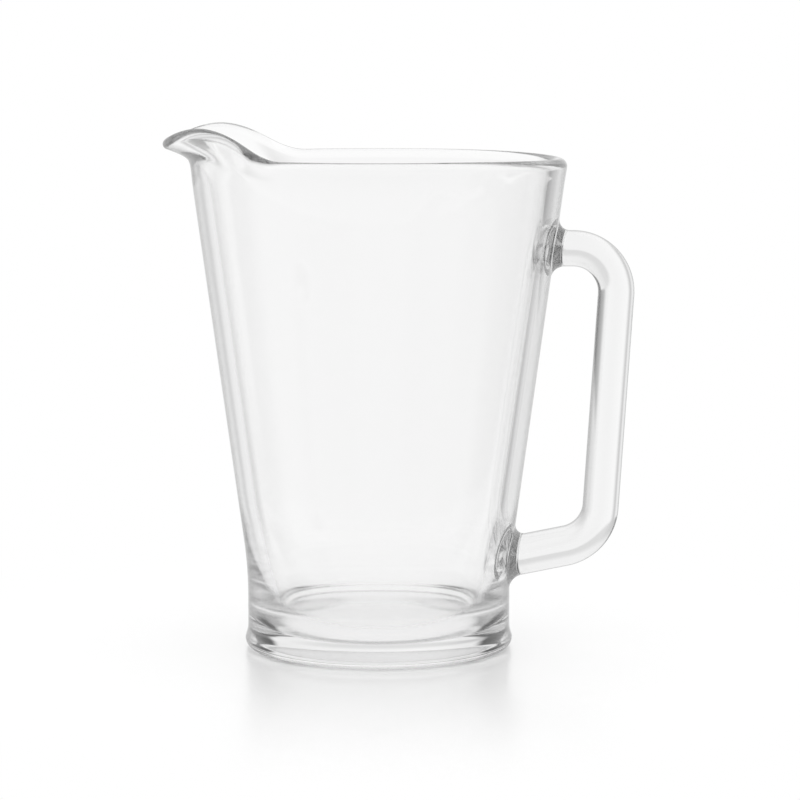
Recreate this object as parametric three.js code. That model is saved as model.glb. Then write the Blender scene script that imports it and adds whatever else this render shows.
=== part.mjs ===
// Handled pouring jug of clear pressed glass: a tapered vessel with a pulled lip, and a welded bar handle.
// Millimetres, +Z up. Origin at the centre of the foot, on the table; the lip points to -X, the handle to +X.
import * as THREE from 'three';

// Vessel, outside
const RIM_HEIGHT = 200;
const RIM_RADIUS = 76.5;
const RIM_DIP = 0.9;
const WAIST_RADIUS = 53.5;
const TAPER_FOOT = 32.5;
const TAPER_BLEND = 11;
const FOOT_RADIUS = 54.6;
const FOOT_BEAD_HEIGHT = 9.5;
const HEEL_RADIUS = 3.4;
const HEEL_TOP_ANGLE = 20;

// Vessel, inside
const WALL = 6.7;
const BASE_THICKNESS = 6.6;
const FLOOR_FILLET = 20;
const THICKENING = 3.4;
const THICKENING_TOP = 56;
const THICKENING_BLEND = 6;

// Pouring lip: how far the rim is pulled out, lifted and bent over, by the angle from the lip's middle
const LIP_TIP_REACH = 9.5;
const LIP_SPREAD_REACH = 12.1;
const LIP_SPREAD_ANGLE = 12;
const LIP_REACH_END_ANGLE = 48;
const LIP_TIP_LIFT = 8.1;
const LIP_TIP_FLAT_ANGLE = 8;
const LIP_EAR_LIFT = 12.3;
const LIP_EAR_ANGLE = 29.5;
const LIP_LIFT_END_ANGLE = 62;
const LIP_LEAN = 73;
const LIP_LEAN_FLAT_ANGLE = 8;
const LIP_LEAN_END_ANGLE = 42;
const LIP_THICKNESS = 4.2;
const LIP_BEND_DEPTH = 11.5;
const LIP_BEND_SHARPNESS = 0.58;
const RIM_DIP_START_ANGLE = 110;

// Handle
const UPPER_WELD_HEIGHT = 162.8;
const LOWER_WELD_HEIGHT = 36.8;
const LOWER_ARM_RISE = 7.3;
const GRIP_STANDOFF_TOP = 25.8;
const GRIP_STANDOFF_LOW = 35.3;
const UPPER_BEND_RADIUS = 17.4;
const LOWER_BEND_RADIUS = 18;
const UPPER_ARM_THICKNESS = 14.6;
const GRIP_THICKNESS = 14.7;
const LOWER_ARM_THICKNESS = 16.2;
const HANDLE_WIDTH = 18;
const SECTION_SQUARENESS = 2.3;
const WELD_FILLET_ABOVE = 5.2;
const WELD_FILLET_BELOW = 4.5;
const WELD_EDGE_ANGLE = 25;
const WELD_GAP = 0.3;

// Facets
const VESSEL_SIDES = 90;
const SECTION_SIDES = 28;
const FILLET_STEPS = 4;
const BEND_STEPS = 9;
const GRIP_STEPS = 3;
const SEAT_RINGS = 4;
const HALVING_STEPS = 40;

const { degToRad, lerp, radToDeg, smoothstep } = THREE.MathUtils;
const TAPER_SLOPE = (RIM_RADIUS - WAIST_RADIUS) / (RIM_HEIGHT - TAPER_FOOT);
const TAPER_ANGLE = Math.atan(TAPER_SLOPE);
const RIM_ROUND = WALL * Math.cos(TAPER_ANGLE) / 2;
const LOWER_ANGLE = Math.atan(TAPER_SLOPE + THICKENING / THICKENING_TOP);

// Radius of the straight taper's outer line, carried on down to the table
function taperRadius(z) {
  return WAIST_RADIUS + TAPER_SLOPE * (z - TAPER_FOOT);
}

// Outer radius of the wall: an upright waist that runs into the taper through a slow curve
function outerRadius(z) {
  const rise = z - (TAPER_FOOT - TAPER_BLEND);
  if (rise >= 2 * TAPER_BLEND) {
    return taperRadius(z);
  }
  return WAIST_RADIUS + TAPER_SLOPE * Math.max(rise, 0) ** 2 / (4 * TAPER_BLEND);
}

// Inner radius of the wall, which grows thicker towards the foot
function innerRadius(z) {
  const below = THICKENING_TOP - z;
  const thickened = (below + Math.hypot(below, THICKENING_BLEND)) / 2;
  return taperRadius(z) - WALL - THICKENING * thickened / THICKENING_TOP;
}

// Values that step evenly from start to end, with the start left out
function stepsTo(start, end, count) {
  return Array.from({ length: count }, (_, i) => lerp(start, end, (i + 1) / count));
}

function arcPoints(centreX, centreZ, radius, startAngle, endAngle, count) {
  const angles = [startAngle, ...stepsTo(startAngle, endAngle, count)];
  return angles.map((angle) => new THREE.Vector2(
    centreX + radius * Math.cos(angle),
    centreZ + radius * Math.sin(angle),
  ));
}

// Flat underside, round heel, and the bead that turns in to the waist
function footPoints() {
  const heelSteps = 5;
  const beadSteps = 3;
  const heelX = FOOT_RADIUS - HEEL_RADIUS;
  const heel = arcPoints(heelX, HEEL_RADIUS, HEEL_RADIUS, -Math.PI / 2, degToRad(HEEL_TOP_ANGLE), heelSteps);
  const heelTop = heel[heelSteps];
  const bead = stepsTo(0, 1, beadSteps).map((share) => {
    const inward = 1 - (1 - share) ** 2;
    return new THREE.Vector2(
      lerp(heelTop.x, WAIST_RADIUS, inward),
      lerp(heelTop.y, FOOT_BEAD_HEIGHT, share),
    );
  });
  return [new THREE.Vector2(0, 0), ...heel, ...bead];
}

// Outside of the wall, with close rings in the curve above the waist and in the top that the lip is bent from
function wallPoints(rimStart) {
  const curveSteps = 4;
  const taperSteps = 3;
  const lipSteps = 9;
  const curveBottom = TAPER_FOOT - TAPER_BLEND;
  const curveTop = TAPER_FOOT + TAPER_BLEND;
  const lipBottom = RIM_HEIGHT - LIP_BEND_DEPTH;
  const heights = [
    curveBottom,
    ...stepsTo(curveBottom, curveTop, curveSteps),
    ...stepsTo(curveTop, lipBottom, taperSteps),
    ...stepsTo(lipBottom, rimStart, lipSteps).slice(0, -1),
  ];
  return heights.map((z) => new THREE.Vector2(outerRadius(z), z));
}

// Inside of the wall, downwards, ending in the round corner of the floor
function insidePoints(rimEnd) {
  const lipSteps = 9;
  const wallSteps = 2;
  const thickSteps = 5;
  const filletSteps = 8;
  const filletZ = BASE_THICKNESS + FLOOR_FILLET;
  const filletX = innerRadius(filletZ) - FLOOR_FILLET / Math.cos(LOWER_ANGLE);
  const lipBottom = RIM_HEIGHT - LIP_BEND_DEPTH;
  const thickTop = THICKENING_TOP + THICKENING_BLEND;
  const wallBottom = filletZ - FLOOR_FILLET * Math.sin(LOWER_ANGLE);
  const heights = [
    ...stepsTo(rimEnd, lipBottom, lipSteps),
    ...stepsTo(lipBottom, thickTop, wallSteps),
    ...stepsTo(thickTop, wallBottom, thickSteps).slice(0, -1),
  ];
  const wall = heights.map((z) => new THREE.Vector2(innerRadius(z), z));
  const fillet = arcPoints(filletX, filletZ, FLOOR_FILLET, -LOWER_ANGLE, -Math.PI / 2, filletSteps);
  return [...wall, ...fillet, new THREE.Vector2(0, BASE_THICKNESS)];
}

// Value at an angle from stations of [angle, value], eased from each station to the next
function easedThrough(stations, angle) {
  let value = stations[0][1];
  for (let i = 1; i < stations.length; i++) {
    const [startAngle, startValue] = stations[i - 1];
    const [endAngle, endValue] = stations[i];
    if (angle >= startAngle) {
      value = lerp(startValue, endValue, smoothstep(angle, startAngle, endAngle));
    }
  }
  return value;
}

const LIP_REACH = [[0, LIP_TIP_REACH], [LIP_SPREAD_ANGLE, LIP_SPREAD_REACH], [LIP_REACH_END_ANGLE, 0]];
const LIP_LIFT = [
  [LIP_TIP_FLAT_ANGLE, LIP_TIP_LIFT],
  [LIP_EAR_ANGLE, LIP_EAR_LIFT],
  [LIP_LIFT_END_ANGLE, 0],
  [RIM_DIP_START_ANGLE, 0],
  [180, -RIM_DIP],
];
const LIP_BEND = [[LIP_LEAN_FLAT_ANGLE, 1], [LIP_LEAN_END_ANGLE, 0]];

function headed(angleFromUpright) {
  return new THREE.Vector2(Math.sin(angleFromUpright), Math.cos(angleFromUpright));
}

// Middle line of the top of the wall, bent over into the lip at an angle from the lip's middle
function bentLine(angle) {
  const bendZ = RIM_HEIGHT - LIP_BEND_DEPTH;
  const rimZ = RIM_HEIGHT - RIM_ROUND;
  const start = new THREE.Vector2(taperRadius(bendZ) - WALL / 2, bendZ);
  const plainEnd = new THREE.Vector2(taperRadius(rimZ) - WALL / 2, rimZ);
  const pull = new THREE.Vector2(easedThrough(LIP_REACH, angle), easedThrough(LIP_LIFT, angle));
  const end = plainEnd.clone().add(pull);
  const lean = lerp(TAPER_ANGLE, degToRad(LIP_LEAN), easedThrough(LIP_BEND, angle));
  const hold = LIP_BEND_SHARPNESS * start.distanceTo(end);
  const startHandle = start.clone().addScaledVector(headed(TAPER_ANGLE), hold);
  const endHandle = end.clone().addScaledVector(headed(lean), -hold);
  const curve = new THREE.CubicBezierCurve(start, startHandle, endHandle, end);
  return { start, length: start.distanceTo(plainEnd), curve };
}

// Bends the top of the wall along its middle line; the rim's round moves as one, a little thinner at the lip
function bendLip(geometry) {
  const position = geometry.attributes.position;
  const upWall = headed(TAPER_ANGLE);
  for (let i = 0; i < position.count; i++) {
    const x = position.getX(i);
    const y = position.getY(i);
    const radius = Math.hypot(x, y);
    const angle = radToDeg(Math.abs(Math.atan2(y, -x)));
    const { start, length, curve } = bentLine(angle);
    const offset = new THREE.Vector2(radius, position.getZ(i)).sub(start);
    const along = offset.dot(upWall);
    if (along <= 0) {
      continue;
    }
    const share = Math.min(along / length, 1);
    const thinned = lerp(1, LIP_THICKNESS / (2 * RIM_ROUND), share * easedThrough(LIP_BEND, angle));
    const outward = offset.cross(upWall) * thinned;
    const beyond = Math.max(along - length, 0) * thinned;
    const tangent = curve.getTangent(share);
    const bent = curve.getPoint(share).addScaledVector(tangent, beyond);
    bent.add(new THREE.Vector2(tangent.y, -tangent.x).multiplyScalar(outward));
    position.setXYZ(i, x / radius * bent.x, y / radius * bent.x, bent.y);
  }
}

function buildVessel() {
  const rimZ = RIM_HEIGHT - RIM_ROUND;
  const rimX = taperRadius(rimZ) - WALL / 2;
  const rimSteps = 8;
  const rim = arcPoints(rimX, rimZ, RIM_ROUND, -TAPER_ANGLE, Math.PI - TAPER_ANGLE, rimSteps);
  const profile = [
    ...footPoints(),
    ...wallPoints(rim[0].y),
    ...rim,
    ...insidePoints(rim[rimSteps].y),
  ];
  const geometry = new THREE.LatheGeometry(profile, VESSEL_SIDES);
  geometry.rotateX(Math.PI / 2);
  bendLip(geometry);
  geometry.computeVertexNormals();
  return geometry;
}

// Ring of the handle's section, about a centre in the XZ plane, square to a heading in that plane
function sectionRing(centre, heading, thickness, widening) {
  const power = 2 / SECTION_SQUARENESS;
  return Array.from({ length: SECTION_SIDES }, (_, i) => {
    const angle = 2 * Math.PI * i / SECTION_SIDES;
    const across = Math.cos(angle);
    const along = Math.sin(angle);
    const grown = widening(across);
    const u = (thickness / 2 + grown) * Math.sign(across) * Math.abs(across) ** power;
    const v = (HANDLE_WIDTH / 2 + grown) * Math.sign(along) * Math.abs(along) ** power;
    return new THREE.Vector3(centre.x - Math.sin(heading) * u, v, centre.y + Math.cos(heading) * u);
  });
}

// Point where a line from outside meets the wall, a weld's gap away from it
function meetWall(point, direction) {
  let outside = 0;
  let inside = RIM_RADIUS;
  const trial = new THREE.Vector3();
  for (let i = 0; i < HALVING_STEPS; i++) {
    const middle = (outside + inside) / 2;
    trial.copy(point).addScaledVector(direction, middle);
    if (Math.hypot(trial.x, trial.y) > outerRadius(trial.z) + WELD_GAP) {
      outside = middle;
    } else {
      inside = middle;
    }
  }
  return trial.copy(point).addScaledVector(direction, outside);
}

// Rings of one welded end, from the middle of its seat out to the plain arm, each along the wall's curve
function weldRings(corner, heading, thickness) {
  const direction = new THREE.Vector3(-Math.cos(heading), 0, -Math.sin(heading));
  const middle = new THREE.Vector3(corner.x, 0, corner.y);
  const fillet = (across) => lerp(WELD_FILLET_BELOW, WELD_FILLET_ABOVE, (1 + across) / 2);
  const ringAt = (turn, share) => {
    const widening = (across) => fillet(across) * (1 - Math.sin(turn));
    const outline = sectionRing(corner, heading, thickness, widening);
    return outline.map((point) => meetWall(point.lerp(middle, 1 - share), direction));
  };
  const edgeTurn = degToRad(WELD_EDGE_ANGLE);
  const seat = [0, ...stepsTo(0, 1, SEAT_RINGS)].map((share) => ringAt(edgeTurn, share));
  const turns = [edgeTurn, ...stepsTo(edgeTurn, Math.PI / 2, FILLET_STEPS)];
  const flare = turns.map((turn) => {
    const backOff = (1 - Math.cos(turn)) * fillet(0);
    return ringAt(turn, 1).map((point) => point.addScaledVector(direction, -backOff));
  });
  return [...seat, ...flare];
}

// Rings of a round bend at a corner of the centre line
function bendRings(corner, headings, radius, thicknesses) {
  const [headingIn, headingOut] = headings;
  const turn = headingOut - headingIn;
  const tangent = radius * Math.tan(Math.abs(turn) / 2);
  const side = Math.sign(turn);
  const startX = corner.x - tangent * Math.cos(headingIn);
  const startZ = corner.y - tangent * Math.sin(headingIn);
  const pivotX = startX - side * radius * Math.sin(headingIn);
  const pivotZ = startZ + side * radius * Math.cos(headingIn);
  return [0, ...stepsTo(0, 1, BEND_STEPS)].map((share) => {
    const heading = headingIn + turn * share;
    const centre = new THREE.Vector2(
      pivotX + side * radius * Math.sin(heading),
      pivotZ - side * radius * Math.cos(heading),
    );
    return sectionRing(centre, heading, lerp(...thicknesses, share), () => 0);
  });
}

// Closed skin over rings that start and end at a point
function skin(rings) {
  const body = rings.slice(1, -1);
  const corners = [rings[0][0], ...body.flat(), rings[rings.length - 1][0]];
  const indices = [];
  const index = (ring, side) => 1 + ring * SECTION_SIDES + side % SECTION_SIDES;
  const lastRing = body.length - 1;
  for (let side = 0; side < SECTION_SIDES; side++) {
    indices.push(0, index(0, side), index(0, side + 1));
    for (let ring = 0; ring < lastRing; ring++) {
      indices.push(index(ring, side), index(ring + 1, side), index(ring, side + 1));
      indices.push(index(ring, side + 1), index(ring + 1, side), index(ring + 1, side + 1));
    }
    indices.push(corners.length - 1, index(lastRing, side + 1), index(lastRing, side));
  }
  const geometry = new THREE.BufferGeometry().setFromPoints(corners);
  geometry.setIndex(indices);
  geometry.computeVertexNormals();
  return geometry;
}

// Solid bar from the upper weld round a D to the lower one
function buildHandle() {
  const upperX = outerRadius(UPPER_WELD_HEIGHT) + GRIP_STANDOFF_TOP;
  const lowerX = outerRadius(LOWER_WELD_HEIGHT) + GRIP_STANDOFF_LOW;
  const upperCorner = new THREE.Vector2(upperX, UPPER_WELD_HEIGHT);
  const lowerCorner = new THREE.Vector2(lowerX, LOWER_WELD_HEIGHT + LOWER_ARM_RISE);
  const lowerSlope = Math.atan2(LOWER_ARM_RISE, GRIP_STANDOFF_LOW);
  const gripHeading = Math.atan2(lowerCorner.y - upperCorner.y, lowerCorner.x - upperCorner.x);
  const upperBend = bendRings(
    upperCorner,
    [0, gripHeading],
    UPPER_BEND_RADIUS,
    [UPPER_ARM_THICKNESS, GRIP_THICKNESS],
  );
  const lowerBend = bendRings(
    lowerCorner,
    [gripHeading, lowerSlope - Math.PI],
    LOWER_BEND_RADIUS,
    [GRIP_THICKNESS, LOWER_ARM_THICKNESS],
  );
  const gripStart = upperBend[BEND_STEPS];
  const gripEnd = lowerBend[0];
  const grip = stepsTo(0, 1, GRIP_STEPS).slice(0, -1).map((share) => (
    gripStart.map((point, side) => point.clone().lerp(gripEnd[side], share))
  ));
  const upperWeld = weldRings(upperCorner, 0, UPPER_ARM_THICKNESS);
  const lowerWeld = weldRings(lowerCorner, lowerSlope, LOWER_ARM_THICKNESS);
  const halfWay = 3 * SECTION_SIDES / 2;
  const turned = lowerWeld.map((ring) => ring.map((_, side) => ring[(halfWay - side) % SECTION_SIDES]));
  return skin([...upperWeld, ...upperBend, ...grip, ...lowerBend, ...turned.reverse()]);
}

function glassMesh(name, geometry) {
  const material = new THREE.MeshStandardMaterial({
    color: 0xe6eef0, roughness: 0.04, metalness: 0, transparent: true, opacity: 0.35,
  });
  const mesh = new THREE.Mesh(geometry, material);
  mesh.name = name;
  return mesh;
}

const jug = new THREE.Group();
jug.add(glassMesh('vessel', buildVessel()));
jug.add(glassMesh('handle', buildHandle()));

export default jug;
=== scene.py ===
"""Clear glass pouring jug: a tapered vessel with a pulled lip, and a bar handle welded to its wall.

Metres, +Z up. The origin is the centre of the foot on the table, the lip points to -X and the
handle to +X.
"""

import logging
import math
from dataclasses import dataclass, field
from enum import Enum
from itertools import pairwise
from typing import ClassVar

import bmesh
import bpy
import numpy as np
from mathutils.kdtree import KDTree
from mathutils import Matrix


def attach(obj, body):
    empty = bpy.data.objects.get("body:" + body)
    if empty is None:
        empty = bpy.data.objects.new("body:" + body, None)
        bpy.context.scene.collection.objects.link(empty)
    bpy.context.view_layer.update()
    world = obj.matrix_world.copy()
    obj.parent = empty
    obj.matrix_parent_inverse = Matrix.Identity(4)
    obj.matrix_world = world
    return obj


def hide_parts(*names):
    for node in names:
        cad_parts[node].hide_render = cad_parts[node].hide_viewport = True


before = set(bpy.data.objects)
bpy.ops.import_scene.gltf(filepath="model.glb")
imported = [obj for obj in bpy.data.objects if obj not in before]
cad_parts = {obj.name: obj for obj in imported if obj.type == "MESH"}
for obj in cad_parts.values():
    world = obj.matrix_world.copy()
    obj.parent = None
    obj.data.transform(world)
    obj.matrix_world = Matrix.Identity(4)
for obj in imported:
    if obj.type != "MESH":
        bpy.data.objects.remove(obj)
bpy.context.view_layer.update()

BODY = "root"

log = logging.getLogger("jug")

Stations = tuple[tuple[float, float], ...]


def grey(level: float) -> tuple[float, float, float, float]:
    """A plain grey, as a colour."""
    return (level, level, level, 1.0)


def arc(
    centre: tuple[float, float], radius: float, start: float, end: float, count: int
) -> list[tuple[float, float]]:
    """Points of an arc.

    Args:
        centre: Radius and height of its centre.
        radius: The arc's own radius.
        start: Angle of the first point, from straight outwards.
        end: Angle of the last point.
        count: How many points.

    Returns:
        Radius and height of each point.
    """
    across, height = centre
    angles = np.linspace(start, end, count)
    return [(across + radius * math.cos(a), height + radius * math.sin(a)) for a in angles]


def nearest(net: bmesh.types.BMesh, points: np.ndarray) -> list[bmesh.types.BMVert]:
    """Finds the corner of a mesh that lies nearest to each point.

    Args:
        net: The mesh.
        points: Where to look.

    Returns:
        The corners.
    """
    net.verts.ensure_lookup_table()
    finder = KDTree(len(net.verts))
    for vert in net.verts:
        finder.insert(vert.co, vert.index)
    finder.balance()
    return [net.verts[finder.find(point)[1]] for point in points]


class Layer(Enum):
    """What a face of glass is: the number is its material's place on the mesh."""

    SKIN = 0
    SEAT = 1


@dataclass(frozen=True)
class WallShape:
    """Sizes of the vessel's tapered wall, which the handle's welds follow too."""

    rim_height: float = 0.200
    rim_radius: float = 0.0765
    waist_radius: float = 0.0535
    taper_foot: float = 0.0325
    taper_blend: float = 0.011
    thickness: float = 0.0067

    @property
    def slope(self) -> float:
        """Growth of the radius with height."""
        return (self.rim_radius - self.waist_radius) / (self.rim_height - self.taper_foot)

    @property
    def angle(self) -> float:
        """Angle of the taper from the upright."""
        return math.atan(self.slope)

    @property
    def rim_round(self) -> float:
        """Radius of the round that ends the wall at the rim."""
        return self.thickness * math.cos(self.angle) / 2

    def middle(self, height: float) -> tuple[float, float, float]:
        """Point half way through the wall, in the plane of its outline."""
        return (self.taper_radius(height) - self.thickness / 2, 0.0, height)

    def taper_radius(self, height: np.ndarray) -> np.ndarray:
        """Radius of the straight taper's outer line, carried on below the waist."""
        return self.waist_radius + self.slope * (height - self.taper_foot)

    def outer_radius(self, height: np.ndarray) -> np.ndarray:
        """Outer radius of the wall: an upright waist that runs into the taper through a slow curve.

        Args:
            height: Heights above the table.

        Returns:
            The radius at each height.
        """
        rise = np.clip(height - (self.taper_foot - self.taper_blend), 0, None)
        curve = self.waist_radius + self.slope * rise**2 / (4 * self.taper_blend)
        return np.where(rise < 2 * self.taper_blend, curve, self.taper_radius(height))

    def on_wall(self, angle: np.ndarray, height: np.ndarray) -> np.ndarray:
        """Points on the outside of the wall.

        Args:
            angle: Angles round the axis, from +X.
            height: Heights above the table.

        Returns:
            One row of X, Y and Z for each point.
        """
        radius = self.outer_radius(height)
        return np.column_stack([radius * np.cos(angle), radius * np.sin(angle), height])


class Sheet:
    """A node tree that is written as sums: each call adds a node and gives back its output."""

    def __init__(self, tree: bpy.types.NodeTree) -> None:
        """Keeps the tree to write in."""
        self.tree = tree

    def node(
        self, kind: str, values: dict[str | int, object], **settings: object
    ) -> bpy.types.Node:
        """Adds a node.

        Args:
            kind: Blender's name for the type of node.
            values: A socket to link, or a plain value, for each named or numbered input.
            settings: The node's own settings.

        Returns:
            The node.
        """
        node = self.tree.nodes.new(kind)
        for name, value in settings.items():
            setattr(node, name, value)
        for name, value in values.items():
            if isinstance(value, bpy.types.NodeSocket):
                self.tree.links.new(value, node.inputs[name])
            else:
                node.inputs[name].default_value = value
        return node

    def sum(self, operation: str, *values: object) -> bpy.types.NodeSocket:
        """Adds a Math node and gives back its result."""
        return self.node("ShaderNodeMath", dict(enumerate(values)), operation=operation).outputs[0]

    def vector(self, operation: str, *values: object) -> bpy.types.NodeSocket:
        """Adds a Vector Math node and gives back its vector."""
        node = self.node("ShaderNodeVectorMath", dict(enumerate(values)), operation=operation)
        return node.outputs["Vector"]

    def measure(self, operation: str, *values: object) -> bpy.types.NodeSocket:
        """Adds a Vector Math node and gives back its number."""
        node = self.node("ShaderNodeVectorMath", dict(enumerate(values)), operation=operation)
        return node.outputs["Value"]

    def scaled(self, vector: object, factor: object) -> bpy.types.NodeSocket:
        """Adds a node that scales a vector."""
        values = {0: vector, "Scale": factor}
        return self.node("ShaderNodeVectorMath", values, operation="SCALE").outputs["Vector"]

    def mixed(self, share: object, first: object, second: object) -> bpy.types.NodeSocket:
        """Adds a node that mixes two shaders."""
        return self.node("ShaderNodeMixShader", {0: share, 1: first, 2: second}).outputs[0]

    def through_glass(self) -> bpy.types.NodeSocket:
        """Adds a test of whether light reaches the eye through glass, and not off the matt table.

        Returns:
            The socket, which is 1 for such light and 0 for other light.
        """
        path = self.node("ShaderNodeLightPath", {})
        through = self.sum("GREATER_THAN", path.outputs["Transmission Depth"], 0.5)
        direct = self.sum("LESS_THAN", path.outputs["Diffuse Depth"], 0.5)
        return self.sum("MULTIPLY", through, direct)

    def eased(
        self, value: object, start: object, end: object, low: object, high: object
    ) -> bpy.types.NodeSocket:
        """Adds a smooth step from low at start to high at end.

        Args:
            value: What is stepped.
            start: Where the step starts.
            end: Where it ends.
            low: The result up to the start.
            high: The result from the end on.

        Returns:
            The result's socket.
        """
        inputs = {"Value": value, "From Min": start, "From Max": end, "To Min": low, "To Max": high}
        step = self.node("ShaderNodeMapRange", inputs, interpolation_type="SMOOTHSTEP")
        return step.outputs["Result"]

    def by_azimuth(self, place: bpy.types.NodeSocket, stations: Stations) -> bpy.types.NodeSocket:
        """Adds a value that goes by the angle round the axis, eased from station to station.

        Args:
            place: A position or direction.
            stations: Degrees from +Y towards +X, rising, each with the value there.

        Returns:
            The value's socket.
        """
        parts = self.node("ShaderNodeSeparateXYZ", {0: place})
        angle = self.sum("ARCTAN2", parts.outputs["X"], parts.outputs["Y"])
        share = self.sum("MULTIPLY_ADD", angle, 1 / math.tau, 0.5)
        ramp = self.node("ShaderNodeValToRGB", {"Fac": share})
        steps = ramp.color_ramp
        steps.interpolation = "EASE"
        while len(steps.elements) < len(stations):
            steps.elements.new(1.0)
        for element, (degrees, level) in zip(steps.elements, stations, strict=True):
            element.position = (degrees + 180) / 360
            element.color = grey(level)
        return ramp.outputs["Color"]


@dataclass(frozen=True)
class GlassFinish:
    """Clear, colourless pressed glass with a fire-polished skin."""

    name: str = "clear_glass"
    colour: tuple[float, float, float] = (0.964, 0.964, 0.964)
    # Painted shade: the share of the colour taken at each reflection inside, the most taken, and at
    # a slant.
    inner_painted_shade: float = 0.05
    most_painted_shade: float = 0.5
    edge_painted_shade: float = 0.9
    edge_shade_start: float = 0.6
    ior: float = 1.52
    smooth: float = 0.0
    hazed: float = 0.012
    floor_haze: float = 0.18
    floor_radius: float = 0.048
    floor_low: float = 0.003
    floor_high: float = 0.018
    floor_end: float = 0.036
    haze_scale: float = 60.0
    haze_start: float = 0.45
    haze_end: float = 0.75
    ripple_scale: float = 28.0
    ripple_detail: float = 1.0
    ripple_depth: float = 0.00002

    def make(self) -> bpy.types.Material:
        """Makes the glass.

        It has a soft ripple from the mould, a skin that is less smooth in patches and on the
        pressed floor, and painted shade in its colour: it is darker for light that runs to and fro
        inside it, which darkens the welds and thick parts, and where the skin is met at a slant,
        which paints a dark outline.

        Returns:
            The new material.
        """
        material = bpy.data.materials.new(self.name)
        material.use_nodes = True
        sheet = Sheet(material.node_tree)
        glass = material.node_tree.nodes["Principled BSDF"]
        glass.inputs["IOR"].default_value = self.ior
        glass.inputs["Transmission Weight"].default_value = 1.0
        place = sheet.node("ShaderNodeTexCoord", {}).outputs["Object"]
        wave = {"Vector": place, "Scale": self.ripple_scale, "Detail": self.ripple_detail}
        ripple = sheet.node("ShaderNodeTexNoise", wave).outputs["Fac"]
        bump = sheet.node("ShaderNodeBump", {"Height": ripple, "Distance": self.ripple_depth})
        # The glass's own tint, darkened by painted shade.
        body = sheet.scaled(self.colour, self.painted_shade_share(sheet))
        sheet.tree.links.new(body, glass.inputs["Base Color"])
        sheet.tree.links.new(self.roughness(sheet, place), glass.inputs["Roughness"])
        sheet.tree.links.new(bump.outputs["Normal"], glass.inputs["Normal"])
        return material

    def painted_shade_share(self, sheet: Sheet) -> bpy.types.NodeSocket:
        """Adds the painted shade: the share of the colour that is kept, which is lowered for each
        reflection inside the glass and where the skin is met at a slant.

        Blender tints light that passes a skin by the root of the colour, so the share is squared.

        Args:
            sheet: The material's nodes.

        Returns:
            The share's socket.
        """
        # Painted shade: the colour darkens with each reflection inside the glass, down to a least
        # share.
        inside = sheet.node("ShaderNodeNewGeometry", {}).outputs["Backfacing"]
        path = sheet.node("ShaderNodeLightPath", {})
        reflections = sheet.sum("MULTIPLY", path.outputs["Glossy Depth"], inside)
        share = sheet.sum("POWER", 1 - self.inner_painted_shade, reflections)
        share = sheet.sum("MAXIMUM", share, 1 - self.most_painted_shade)
        # Painted shade: a dark outline where a ray from outside first meets the skin at a slant.
        first = sheet.sum("LESS_THAN", path.outputs["Transmission Depth"], 1.0)
        facing = sheet.node("ShaderNodeLayerWeight", {}).outputs["Facing"]
        slant = sheet.sum("MULTIPLY", facing, first)
        edge = sheet.eased(slant, self.edge_shade_start, 1.0, 1.0, 1 - self.edge_painted_shade)
        return sheet.sum("POWER", sheet.sum("MULTIPLY", share, edge), 2.0)

    def roughness(self, sheet: Sheet, place: bpy.types.NodeSocket) -> bpy.types.NodeSocket:
        """Adds the skin's roughness.

        Args:
            sheet: The material's nodes.
            place: The point on the skin.

        Returns:
            The roughness's socket.
        """
        cloud = {"Vector": place, "Scale": self.haze_scale}
        haze = sheet.node("ShaderNodeTexNoise", cloud).outputs["Fac"]
        patches = sheet.eased(haze, self.haze_start, self.haze_end, self.smooth, self.hazed)
        height = sheet.node("ShaderNodeSeparateXYZ", {0: place}).outputs["Z"]
        away = sheet.measure("LENGTH", sheet.vector("MULTIPLY", place, (1.0, 1.0, 0.0)))
        floor = sheet.eased(height, self.floor_high, self.floor_end, self.floor_haze, 0.0)
        floor = sheet.sum("MULTIPLY", floor, sheet.sum("LESS_THAN", away, self.floor_radius))
        floor = sheet.sum("MULTIPLY", floor, sheet.sum("GREATER_THAN", height, self.floor_low))
        return sheet.sum("MAXIMUM", patches, floor)


@dataclass(frozen=True)
class ShadedBarGlassFinish(GlassFinish):
    """The same glass in the solid bar as a darker copy, which paints shade on the handle with a
    darker colour and larger painted losses for light that runs inside it.
    """

    name: str = "shaded_bar_glass"
    # Painted shade: darker than the wall's glass, with larger painted losses.
    colour: tuple[float, float, float] = (0.888, 0.888, 0.888)
    inner_painted_shade: float = 0.07
    most_painted_shade: float = 0.85


@dataclass(frozen=True)
class FusedFinish:
    """The buried seat of a weld, where glass runs into glass and nothing is seen."""

    name: str = "fused_seat"

    def make(self) -> bpy.types.Material:
        """Makes the material that light passes straight through.

        Returns:
            The new material.
        """
        material = bpy.data.materials.new(self.name)
        material.use_nodes = True
        sheet = Sheet(material.node_tree)
        sheet.tree.nodes.remove(sheet.tree.nodes["Principled BSDF"])
        clear = sheet.node("ShaderNodeBsdfTransparent", {}).outputs["BSDF"]
        sheet.tree.links.new(clear, sheet.tree.nodes["Material Output"].inputs["Surface"])
        return material


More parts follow.
